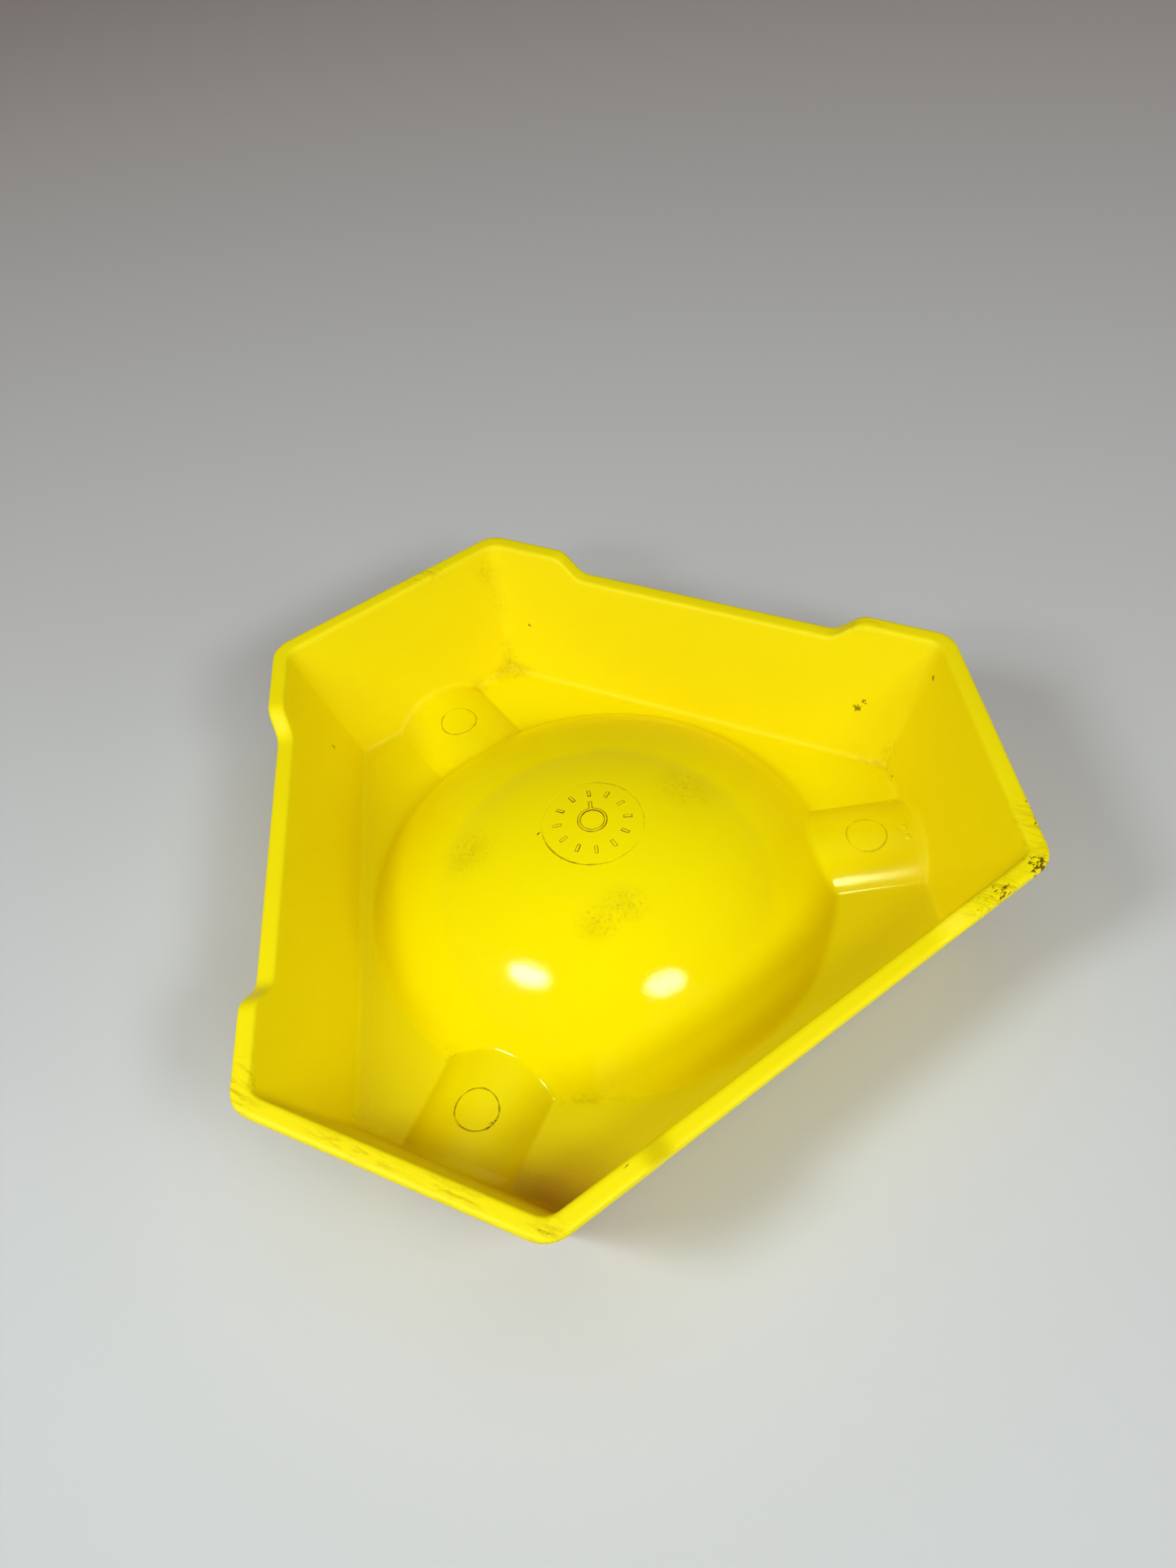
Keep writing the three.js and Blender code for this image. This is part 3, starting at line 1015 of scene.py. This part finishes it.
# The studio round the object is a warm grey near the horizon, and darker and warmer overhead.
HORIZON = (0.15, 0.125, 0.10)
OVERHEAD = (0.12, 0.065, 0.04)
HORIZON_SINES = (0.10, 0.50)  # of the elevations between which one turns into the other


def softbox(name, azimuth, elevation, distance, width, depth, tilt, power):
    """A soft light that shines at the object from a direction."""
    data = bpy.data.lights.new(name, "AREA")
    data.shape = "ELLIPSE"
    data.size = width
    data.size_y = depth
    data.energy = power
    data.color = LIGHT_TINT
    light = bpy.data.objects.new(name, data)
    towards = direction(math.radians(azimuth), math.radians(elevation))
    light.location = CAMERA_TARGET + towards * distance
    light.rotation_mode = "QUATERNION"
    turn = Quaternion((0, 0, 1), math.radians(tilt))
    light.rotation_quaternion = towards.to_track_quat("Z", "Y") @ turn
    bpy.context.scene.collection.objects.link(light)
    return light


def add_lights():
    for key in KEYS:
        softbox(*key)
    for fill in FILLS:
        softbox(*fill).visible_glossy = False


def add_world():
    """Weak light from all round, which depends only on its elevation."""
    nodes = Nodes(bpy.data.worlds.new("studio"), "Background")
    towards = nodes.add("ShaderNodeTexCoord", {}).outputs["Generated"]
    upwards = nodes.add("ShaderNodeSeparateXYZ", {0: towards}).outputs["Z"]
    share = nodes.ramp(nodes.math("ABSOLUTE", upwards), *HORIZON_SINES)
    nodes.put(nodes.shader.inputs["Color"], nodes.mix(share, HORIZON, OVERHEAD))
    bpy.context.scene.world = nodes.owner


def add_camera():
    data = bpy.data.cameras.new("camera")
    data.lens = CAMERA_LENS
    data.clip_start = 0.01
    camera = bpy.data.objects.new("camera", data)
    back = direction(CAMERA_AZIMUTH, CAMERA_ELEVATION)
    camera.location = CAMERA_TARGET + back * CAMERA_DISTANCE
    camera.rotation_mode = "QUATERNION"
    camera.rotation_quaternion = back.to_track_quat("Z", "Y") @ Quaternion((0, 0, 1), CAMERA_ROLL)
    bpy.context.scene.collection.objects.link(camera)
    bpy.context.scene.camera = camera


def build():
    add_camera()
    ashtray = make_ashtray()
    ashtray.data.materials.append(melamine())
    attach(ashtray, "root")
    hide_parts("ashtray")
    add_floor()
    add_lights()
    add_world()
    bpy.context.scene.view_settings.view_transform = "Standard"


build()
